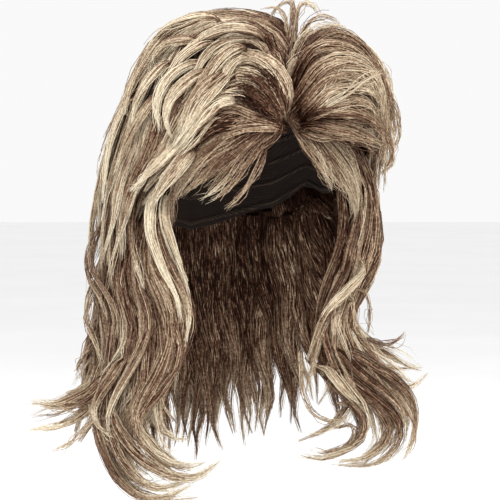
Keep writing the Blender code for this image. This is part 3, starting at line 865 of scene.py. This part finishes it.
PARTING_GUIDES = (
    ((-4, 59), [(4, 74, -14), (13, 62, 4), (30, 50, 18), (56, 42, 26), (100, 36, 31)]),
    ((0, 60), [(8, 77, -23), (18, 64, -10), (36, 55, 0), (66, 52, 6), (105, 50, 10)]),
    ((4, 60), [(15, 80, -22), (28, 74, -6), (46, 69, 4), (72, 67, 10), (100, 66, 12)]),
)
CROWN_RIGHT_GUIDES = (
    ((-2, 60), [(-12, 91, -41), (-26, 98, -38), (-38, 103, -44), (-50, 101, -62), (-62, 100, -86),
        (-74, 99, -112)]),
    ((-1, 58), [(-3, 83, -12), (-10, 78, 4), (-22, 79, 11), (-32, 88, 4), (-40, 99, -18),
        (-48, 101, -42), (-58, 101, -70), (-70, 103, -96), (-80, 103, -122)]),
    ((10, 50), [(9, 72, -4), (5, 60, 18), (-13, 48, 29), (-47, 49, 29), (-67, 64, 14),
        (-76, 86, -20), (-83, 98, -66), (-90, 105, -112), (-94, 107, -150), (-96, 106, -184)]),
    ((40, 35), [(38, 47, 16), (36, 38, 31), (16, 21, 38), (-86, 25, 38), (-102, 50, 30),
        (-107, 67, 13), (-109, 81, -18), (-110, 97, -60), (-110, 109, -104), (-109, 113, -148),
        (-109, 113, -172)]),
    ((78, 35), [(85, 47, 14), (95, 36, 29), (150, 14, 37), (-130, 36, 36), (-122, 56, 23),
        (-123, 75, 0), (-124, 91, -38), (-124, 107, -82), (-123, 115, -128), (-122, 117, -156),
        (-121, 119, -186)]),
    ((118, 37), [(128, 52, 12), (140, 44, 27), (175, 34, 36), (-150, 50, 33), (-142, 72, 17),
        (-138, 88, -8), (-137, 100, -44), (-136, 110, -88), (-134, 117, -132), (-133, 121, -184)]),
)
CROWN_LEFT_GUIDES = (
    ((2, 60), [(11, 92, -44), (26, 103, -49), (38, 109, -56), (47, 118, -64), (55, 124, -76)]),
    ((3, 59), [(12, 92, -34), (25, 104, -28), (38, 111, -28), (47, 120, -40), (52, 123, -58),
        (52, 119, -80)]),
    ((3, 58), [(12, 82, -16), (25, 94, -2), (40, 106, 0), (52, 115, -15), (58, 120, -37),
        (60, 117, -62)]),
    ((8, 54), [(18, 71, 2), (32, 78, 18), (48, 90, 19), (58, 104, 5), (65, 115, -16),
        (70, 118, -46), (72, 115, -82), (70, 111, -122), (65, 107, -164)]),
    ((40, 43), [(52, 60, 6), (64, 72, 17), (76, 86, 11), (83, 99, -12), (88, 106, -48),
        (90, 110, -90), (92, 112, -130), (92, 111, -166)]),
    ((75, 40), [(86, 56, 10), (97, 71, 17), (105, 89, 2), (109, 102, -32), (111, 110, -78),
        (110, 117, -130), (108, 119, -176)]),
    ((112, 38), [(120, 56, 12), (127, 73, 18), (131, 93, 2), (132, 106, -34), (132, 114, -80),
        (130, 120, -130), (130, 123, -182)]),
)
CROWN_BACK_GUIDES = (
    CROWN_RIGHT_GUIDES[-1],
    ((134, 38), [(146, 54, 14), (160, 56, 27), (180, 66, 31), (-163, 84, 20), (-157, 102, -6),
        (-155, 114, -48), (-154, 122, -96), (-151, 128, -146), (-150, 129, -190)]),
    ((146, 38), [(155, 56, 14), (166, 68, 26), (175, 87, 22), (178, 108, -4), (178, 121, -48),
        (178, 128, -98), (180, 133, -150), (180, 133, -198)]),
    ((142, 38), [(149, 56, 14), (153, 73, 24), (154, 93, 12), (153, 107, -14), (152, 117, -50),
        (152, 124, -96), (150, 129, -142), (149, 131, -190)]),
    ((118, 38), [(124, 56, 12), (129, 73, 18), (131, 93, 2), (132, 106, -34), (132, 114, -80),
        (130, 120, -130), (130, 123, -182)]),
)
# Distances of the crown's inner mass from the middle of the head: a row for each polar angle, with
# a value for each of the sides, evenly round from the face.
MASS_SIDES = 8
MASS_POLARS = (0, 20, 30, 42, 60, 90)
MASS_REACH = (
    (0.120, 0.120, 0.120, 0.120, 0.120, 0.120, 0.120, 0.120),
    (0.118, 0.111, 0.110, 0.117, 0.124, 0.125, 0.124, 0.124),
    (0.105, 0.098, 0.098, 0.112, 0.120, 0.119, 0.117, 0.115),
    (0.0975, 0.107, 0.112, 0.112, 0.116, 0.110, 0.108, 0.107),
    (0.0975, 0.102, 0.098, 0.101, 0.110, 0.100, 0.096, 0.098),
    (0.0975, 0.096, 0.090, 0.094, 0.101, 0.093, 0.087, 0.090),
)
MASS_HEM_TURNS = (0, 30, 52, 72, 90, 180)
MASS_HEM_POLARS = (57, 60, 68, 82, 87, 87)
MASS_WALL = 0.003
MASS_SMOOTHINGS = 4
MATTED_SCALES = (900, 900, 80)
MATTED_DARK = (0.050, 0.022, 0.012, 1)
MATTED_LIGHT = (0.260, 0.150, 0.088, 1)
# The unit dome is cut at this height, which is that far round from its top.
DOME_CUT = 0.02
DOME_POLAR = 88.9


def crown_mass():
    """The backcombed mass under the crown's locks: a dome that is hollow where the cap is."""
    mesh = bmesh.new()
    bmesh.ops.create_uvsphere(mesh, u_segments=64, v_segments=40, radius=1)
    bmesh.ops.bisect_plane(
        mesh, geom=mesh.verts[:] + mesh.edges[:] + mesh.faces[:], plane_co=(0, 0, DOME_CUT),
        plane_no=(0, 0, -1), clear_outer=True,
    )
    table = np.array(MASS_REACH)
    for vert in mesh.verts:
        way = np.array(vert.co.normalized())
        azimuth = math.degrees(math.atan2(way[0], -way[1])) % 360
        hem = np.interp(min(azimuth, 360 - azimuth), MASS_HEM_TURNS, MASS_HEM_POLARS)
        polar = math.degrees(math.acos(min(1, way[2]))) / DOME_POLAR * hem
        ring = [np.interp(polar, MASS_POLARS, table[:, side]) for side in range(MASS_SIDES)]
        reach = np.interp(azimuth, np.linspace(0, 360, MASS_SIDES + 1), ring + ring[:1])
        vert.co = HEAD_MIDDLE + way_of(azimuth, polar) * reach
    for _ in range(MASS_SMOOTHINGS):
        bmesh.ops.smooth_vert(
            mesh, verts=[vert for vert in mesh.verts if not vert.is_boundary], factor=0.5,
            use_axis_x=True, use_axis_y=True, use_axis_z=True,
        )
    bmesh.ops.recalc_face_normals(mesh, faces=mesh.faces)
    bmesh.ops.solidify(mesh, geom=mesh.faces[:], thickness=MASS_WALL)
    bmesh.ops.recalc_face_normals(mesh, faces=mesh.faces)
    return mesh


def mass_finish():
    """Backcombed hair: dark brown and matted, with the strands crossing."""
    mass = Finish("backcombed_hair", Roughness=0.65, Specular_IOR_Level=0.08)
    strand = mass.node(
        "ShaderNodeVectorMath", {"operation": "MULTIPLY"}, {0: mass.place(), 1: MATTED_SCALES}
    ).outputs["Vector"]
    mat = mass.noise(strand, 1.0, 3.0)
    mass.colour(mat, [(0.35, MATTED_DARK), (0.7, MATTED_LIGHT)])
    mass.bump(mat, 0.8, 0.002)
    return mass.material


def placed(rows, seed, steps, **look):
    """Single locks whose stations are given in all three directions."""
    lines = [smooth_line([as_seen(*row) for row in stations], steps) for stations in rows]
    return single_locks(lines, seed, look)


place_mesh(crown_mass(), "crown_mass", mass_finish())

parting = Fall(PARTING_GUIDES).locks(
    20, 50, 14, start=(0, 0.1), run=(0.6, 1.0), width=(0.007, 0.013), depth=(0.004, 0.007),
    lift=(-0.003, 0.003), tone=(0.22, 0.50), bend=(-0.004, 0.004), root_dark=0.1,
)
parting_hair = add_hair("parting_fibres", [fibres(parting, 18)])
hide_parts("crown")
crown_cores = (cores("parting_cores", parting, 0.8),)
for name, guides, seed, deep, deep_run, top, loose_count in (
    ("right", CROWN_RIGHT_GUIDES, 60, 28, (0.76, 0.97), 46, 26),
    ("left", CROWN_LEFT_GUIDES, 80, 26, (0.72, 0.95), 38, 26),
    ("back", CROWN_BACK_GUIDES, 100, 22, (0.80, 1.0), 28, 8),
):
    crown_fall = Fall(guides)
    # Under locks get darker tones than the locks over them: painted shade of the depth beneath.
    under = crown_fall.locks(
        deep, seed, 14, start=(0, 0.12), run=deep_run, width=(0.023, 0.034),
        depth=(0.010, 0.014), lift=(-0.010, -0.006), tone=(0.30, 0.52), wave=(0.002, 0.12),
        root_dark=0.20, root_length=0.2, tip_light=0.1,
    )
    over = crown_fall.locks(
        top, seed + 1, 14, start=(0, 0.5), run=(0.28, 0.58), width=(0.009, 0.020),
        depth=(0.005, 0.009), lift=(-0.003, 0.004), tone=(0.50, 0.88), bend=(-0.012, 0.012),
        flip=(-0.005, 0.003), root_dark=0.36, root_length=0.3, tip_light=0.18, wave=(0.002, 0.07),
    )
    loose = crown_fall.locks(
        loose_count, seed + 2, 14, start=(0, 0.5), run=(0.3, 0.7), width=(0.003, 0.007),
        depth=(0.002, 0.004), lift=(0.001, 0.005), tone=(0.45, 0.95), bend=(-0.016, 0.016),
        flip=(-0.003, 0.007), root_dark=0.3, root_length=0.26, tip_light=0.08, stray=0.0012,
    )
    strands = [fibres(under, 10), fibres(over, 24), fibres(loose, 9, 0)]
    add_hair(f"crown_{name}_fibres", strands)
    crown_cores += (
        cores(f"crown_{name}_cores_under", under, 0.9),
        cores(f"crown_{name}_cores_over", over, 0.72),
    )

# Blond arcs over the right temple, each rising out of the mass and curling down to its tip, as
# (across, height) on the hair beneath.
CROWN_ARCS = (
    [(30, 14), (20, 22), (0, 27), (-20, 23), (-36, 10), (-45, -4)],
    [(-6, 38), (-31, 36), (-54, 28), (-68, 15), (-78, -2)],
    [(-24, 16), (-38, 19), (-54, 17), (-65, 6), (-68, -7)],
    [(16, 12), (6, 14), (-10, 6), (-22, -9), (-31, -23), (-38, -40)],
    [(-16, 2), (-30, 0), (-46, -7), (-57, -20), (-61, -34), (-58, -52)],
    [(-12, -4), (-25, -8), (-38, -16), (-50, -29), (-53, -44), (-48, -58)],
    [(-2, -2), (-14, -10), (-28, -23), (-38, -38), (-43, -54)],
    [(6, -2), (-5, -8), (-17, -20), (-28, -34), (-38, -50), (-50, -66)],
    [(10, -34), (-2, -29), (-17, -33), (-31, -50), (-47, -68)],
    [(-50, -14), (-64, -28), (-78, -48), (-88, -68), (-96, -86)],
    [(-78, -16), (-88, -36), (-96, -58), (-101, -82), (-103, -108)],
    [(-38, -54), (-54, -71), (-68, -84), (-82, -98)],
    [(-28, -60), (-44, -78), (-58, -96), (-67, -114)],
    [(-46, 8), (-59, -3), (-72, -20), (-79, -36), (-80, -52)],
    [(-10, 20), (-28, 14), (-44, 2), (-54, -14), (-58, -28)],
    [(-46, 30), (-62, 16), (-74, -2), (-82, -22), (-86, -40)],
)
# The front swoop, from the parting's front end up over the hollow and down to the temple. Each
# station from here on is (across, toward, height).
FRONT_SWOOPS = (
    [(42, 78, -46), (38, 82, -24), (26, 82, -4), (9, 80, 4), (-9, 79, -2), (-24, 80, -21),
        (-36, 80, -42), (-46, 78, -64)],
    [(40, 80, -46), (34, 86, -31), (19, 87, -14), (1, 86, -9), (-16, 85, -20), (-29, 84, -38),
        (-41, 82, -58), (-52, 78, -77)],
    [(40, 80, -46), (30, 86, -42), (14, 90, -38), (-3, 91, -31), (-18, 90, -35), (-32, 88, -51),
        (-46, 83, -70)],
    [(40, 80, -47), (24, 90, -45), (4, 94, -46), (-16, 93, -56), (-34, 88, -72)],
)
# Dark locks in the hollow under the swoop, as (across, height) on the hair beneath: dark brown
# hair, made darker away from the roots as painted shade of the hollow.
HOLLOW_SHADE_LOCKS = (
    [(38, -44), (33, -26), (25, -10), (12, 0)],
    [(38, -44), (30, -29), (19, -15), (4, -8)],
    [(38, -45), (26, -34), (12, -22), (-2, -18)],
    [(38, -46), (24, -39), (10, -30), (-4, -24)],
    [(38, -46), (28, -36), (16, -27), (2, -13)],
)
# The swirl over the left temple, in thin locks with gaps between them, and its low ends.
LEFT_SWIRL = (
    [(46, 70, -30), (50, 62, 0), (60, 56, 17), (78, 52, 23), (94, 50, 16), (106, 50, 2),
        (115, 50, -19), (119, 52, -43), (116, 56, -66)],
    [(44, 72, -34), (47, 72, -9), (57, 70, 9), (73, 68, 13), (91, 64, 6), (105, 60, -10),
        (113, 60, -31), (115, 62, -53), (110, 66, -74)],
    [(43, 76, -40), (49, 80, -24), (64, 80, -4), (82, 77, 2), (101, 70, -4), (111, 66, -20),
        (113, 65, -40), (108, 65, -58)],
    [(42, 78, -46), (55, 84, -47), (72, 84, -50), (94, 77, -55), (118, 68, -67)],
    [(44, 78, -44), (60, 84, -39), (80, 81, -38), (100, 74, -42), (112, 69, -54), (110, 67, -74)],
    [(44, 77, -42), (56, 82, -34), (70, 82, -22), (86, 78, -18), (104, 72, -22), (112, 67, -34)],
    [(44, 77, -41), (53, 82, -29), (67, 82, -13), (84, 79, -8), (101, 74, -12), (110, 70, -28)],
    [(44, 77, -43), (58, 84, -38), (74, 82, -31), (92, 77, -28), (106, 70, -35), (112, 65, -50)],
)
SWIRL_WISPS = (
    [(90, 60, -20), (106, 60, -30), (118, 60, -50), (120, 62, -70), (111, 64, -84)],
    [(80, 70, -30), (100, 68, -36), (114, 66, -52), (118, 66, -72), (108, 68, -88)],
    [(55, 82, -36), (68, 83, -21), (80, 80, -4), (90, 74, 8)],
    [(58, 83, -39), (78, 82, -27), (98, 76, -14), (112, 68, -7)],
    [(96, 46, 17), (110, 46, 1), (120, 46, -22), (123, 48, -46)],
    [(86, 42, 24), (103, 42, 11), (116, 42, -9), (122, 44, -34)],
    [(114, 56, -16), (124, 54, -36), (126, 54, -56), (116, 58, -72)],
    [(104, 70, -44), (116, 66, -58), (120, 64, -74), (112, 66, -86)],
)
# The tuft of thin wisps that stands up where the parting ends.
TOP_TUFT = (
    [(44, 30, 0), (42, 24, 22), (43, 20, 40), (44, 18, 50), (36, 18, 51), (28, 18, 42),
        (24, 18, 30)],
    [(46, 28, 0), (45, 22, 24), (47, 18, 42), (52, 16, 51), (60, 16, 48), (66, 16, 38)],
    [(48, 30, 0), (50, 24, 22), (58, 20, 36), (70, 18, 40), (82, 18, 32)],
    [(44, 28, 2), (40, 22, 24), (36, 20, 40), (28, 18, 46), (18, 18, 44)],
    [(43, 26, 4), (44, 20, 28), (45, 18, 44), (44, 16, 52), (40, 16, 54)],
    [(46, 34, -4), (52, 30, 14), (62, 26, 26), (74, 24, 32), (86, 22, 30)],
)
arcs = laid(
    CROWN_ARCS, crown_cores, 200, 14, 0.005, sink=0.011, follow=3, width=(0.008, 0.013),
    depth=(0.005, 0.007), lift=(0, 0.002), tone=(0.66, 0.90), root_dark=0.5, root_length=0.3,
    tip_light=0.16, root_full=0.08,
)
swoops = placed(
    FRONT_SWOOPS, 210, 16, width=(0.014, 0.020), depth=(0.006, 0.009), lift=(0.001, 0.003),
    tone=((0.60, 0.60, 0.60, 0.40), (0.78, 0.78, 0.78, 0.54)), root_dark=0.26, root_length=0.3,
    tip_light=0.2,
)
# Painted shade of the hollow: very dark tones, lighter at the roots and darker towards the ends.
hollow = laid(
    HOLLOW_SHADE_LOCKS, crown_cores, 250, 14, 0.003, width=(0.010, 0.014), depth=(0.004, 0.006),
    lift=(0, 0.002), tone=(0.14, 0.28), root_dark=-0.24, root_length=0.5, tip_light=-0.06,
    stray=0.0014,
)
swirl = placed(
    LEFT_SWIRL, 220, 16, width=(0.010, 0.016), depth=(0.005, 0.008), lift=(0.000, 0.002),
    tone=(0.52, 0.76), root_dark=0.42, root_length=0.5, tip_light=0.12, stray=0.0016,
)
wisps = placed(
    SWIRL_WISPS, 230, 14, width=(0.003, 0.006), depth=(0.002, 0.004), lift=(0.000, 0.003),
    tone=(0.52, 0.80), root_dark=0.2, tip_light=0.1, stray=0.0014,
)
tuft = placed(
    TOP_TUFT, 240, 14, width=(0.003, 0.006), depth=(0.002, 0.004), lift=(0, 0.001),
    tone=(0.45, 0.70), root_dark=0.2, tip_light=0.2, stray=0.0014,
)
strands = [fibres(arcs, 32), fibres(hollow, 30), fibres(wisps, 12, 0), fibres(tuft, 14, 0)]
add_hair("crown_arc_fibres", strands)
cores("crown_hollow_shade_cores", hollow, 0.8)
add_hair("crown_swoop_fibres", [fibres(swoops, 44), fibres(swirl, 34)])
cores("crown_arc_cores", arcs, 0.7)
cores("crown_swoop_cores", swoops, 0.75)
cores("crown_swirl_cores", swirl, 0.65)


# Fringe
# Fine short hair sewn along the cap's front edge. It parts in the middle and sweeps to both
# temples in thin see-through locks with brown roots and blond ends.

FINE_RADIUS = 0.00027
FRINGE_RIGHT_GUIDES = (
    ((-1, 59), [(-7, 94, -53), (-14, 99, -63), (-21, 105, -79), (-30, 104, -95),
        (-40, 100, -103)]),
    ((-6, 59), [(-16, 96, -55), (-27, 101, -67), (-38, 101, -83), (-48, 96, -97),
        (-55, 92, -105)]),
    ((-16, 60), [(-28, 96, -59), (-40, 98, -71), (-50, 96, -85), (-57, 92, -101),
        (-60, 89, -117)]),
    ((-28, 62), [(-39, 94, -65), (-49, 94, -79), (-56, 92, -95), (-60, 88, -113),
        (-61, 85, -131)]),
    ((-42, 67), [(-50, 91, -73), (-56, 90, -89), (-60, 88, -105), (-62, 85, -123),
        (-62, 83, -141)]),
)
FRINGE_LEFT_GUIDES = (
    ((2, 59), [(4, 94, -55), (7, 101, -69), (12, 104, -85), (22, 101, -101), (33, 97, -113)]),
    ((8, 59), [(14, 96, -59), (22, 102, -75), (32, 102, -91), (42, 99, -105), (50, 96, -117)]),
    ((18, 60), [(26, 97, -61), (34, 100, -75), (43, 100, -91), (52, 98, -109), (57, 94, -127)]),
    ((30, 62), [(38, 96, -67), (46, 98, -81), (53, 97, -97), (58, 94, -115), (60, 91, -135)]),
    ((44, 67), [(51, 93, -75), (57, 93, -91), (60, 91, -109), (62, 89, -129)]),
)
# The long strands that cross the forehead over the right brow, as (across, toward, height).
BROW_STRANDS = (
    [(20, 86, -55), (15, 97, -66), (6, 104, -80), (-6, 106, -95), (-22, 104, -107)],
    [(14, 88, -56), (7, 98, -68), (-3, 104, -83), (-15, 104, -96), (-29, 100, -105)],
    [(23, 86, -56), (20, 97, -68), (14, 103, -84), (4, 106, -99), (-10, 105, -111)],
)

for slot, guides, seed, tone in (
    ("fringe_right", FRINGE_RIGHT_GUIDES, 120, (0.32, 0.60)),
    ("fringe_left", FRINGE_LEFT_GUIDES, 140, (0.50, 0.76)),
):
    sheer = Fall(guides).locks(
        20, seed, 10, start=(0, 0.02), run=(0.55, 1.0), width=(0.005, 0.012),
        depth=(0.002, 0.004), lift=(-0.001, 0.002), tone=tone, bend=(-0.005, 0.005),
        root_dark=0.16, root_length=0.4, tip_light=0.20, stray=0.0014,
    )
    hair = add_hair(f"{slot}_fibres", [fibres(sheer, 20, 0, FINE_RADIUS)])
    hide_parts(slot)
brow = placed(
    BROW_STRANDS, 160, 10, width=(0.004, 0.006), depth=(0.002, 0.003), lift=(0, 0.001),
    tone=(0.50, 0.66), root_dark=0.3, root_length=0.4, tip_light=0.24, stray=0.0016,
)
add_hair("brow_strands", [fibres(brow, 16, 0, FINE_RADIUS)])


# Stage
# A pale floor and soft studio light from the front, for the picture alone.

CAMERA_RISE = math.radians(2)
CAMERA_DISTANCE = 2.2
CAMERA_LENS = 198
CAMERA_ASIDE = 0.010
AIM_HEIGHT = -0.146
LIGHTS_AIM = (0, 0, -0.12)
FLOOR_HEIGHT = -0.42
FLOOR_RADIUS = 12
PAPER_DARK = (0.90, 0.90, 0.90, 1)
PAPER_LIGHT = (0.93, 0.93, 0.93, 1)
ROOM_LIGHT = 0.95

scene = bpy.context.scene
scene.view_settings.view_transform = "Standard"
floor = bmesh.new()
bmesh.ops.create_circle(floor, cap_ends=True, segments=96, radius=FLOOR_RADIUS)
bmesh.ops.translate(floor, verts=floor.verts, vec=(0, 0, FLOOR_HEIGHT))
floor_data = bpy.data.meshes.new("floor")
floor.to_mesh(floor_data)
floor.free()
floor_piece = bpy.data.objects.new("floor", floor_data)
scene.collection.objects.link(floor_piece)
paper = Finish("floor_paper", Roughness=0.9)
paper.colour(paper.noise(paper.place(), 3.0, 2.0), [(0.3, PAPER_DARK), (0.7, PAPER_LIGHT)])
floor_data.materials.append(paper.material)

world = bpy.data.worlds.new("studio")
world.use_nodes = True
room = world.node_tree.nodes["Background"].inputs
room["Color"].default_value = (1, 1, 1, 1)
room["Strength"].default_value = ROOM_LIGHT
scene.world = world


def softbox(name, place, size, power):
    """A square soft light that points at the wig."""
    lamp = bpy.data.lights.new(name, "AREA")
    lamp.size = size
    lamp.energy = power
    piece = bpy.data.objects.new(name, lamp)
    scene.collection.objects.link(piece)
    piece.location = place
    way = Vector(LIGHTS_AIM) - piece.location
    piece.rotation_euler = way.to_track_quat("-Z", "Y").to_euler()


softbox("key_light", (-0.9, -1.6, 1.1), 0.7, 22)
softbox("fill_light", (1.3, -1.4, 0.3), 0.9, 9)
softbox("top_light", (0.1, 0.4, 1.6), 0.8, 12)

lens = bpy.data.cameras.new("camera")
lens.lens = CAMERA_LENS
camera = bpy.data.objects.new("camera", lens)
scene.collection.objects.link(camera)
back_way = Vector((
    math.sin(VIEW_TURN) * math.cos(CAMERA_RISE),
    -math.cos(VIEW_TURN) * math.cos(CAMERA_RISE),
    math.sin(CAMERA_RISE),
))
right_way = Vector((math.cos(VIEW_TURN), math.sin(VIEW_TURN), 0))
aim = right_way * CAMERA_ASIDE + Vector((0, 0, AIM_HEIGHT))
camera.location = aim + back_way * CAMERA_DISTANCE
camera.rotation_euler = (-back_way).to_track_quat("-Z", "Y").to_euler()
scene.camera = camera
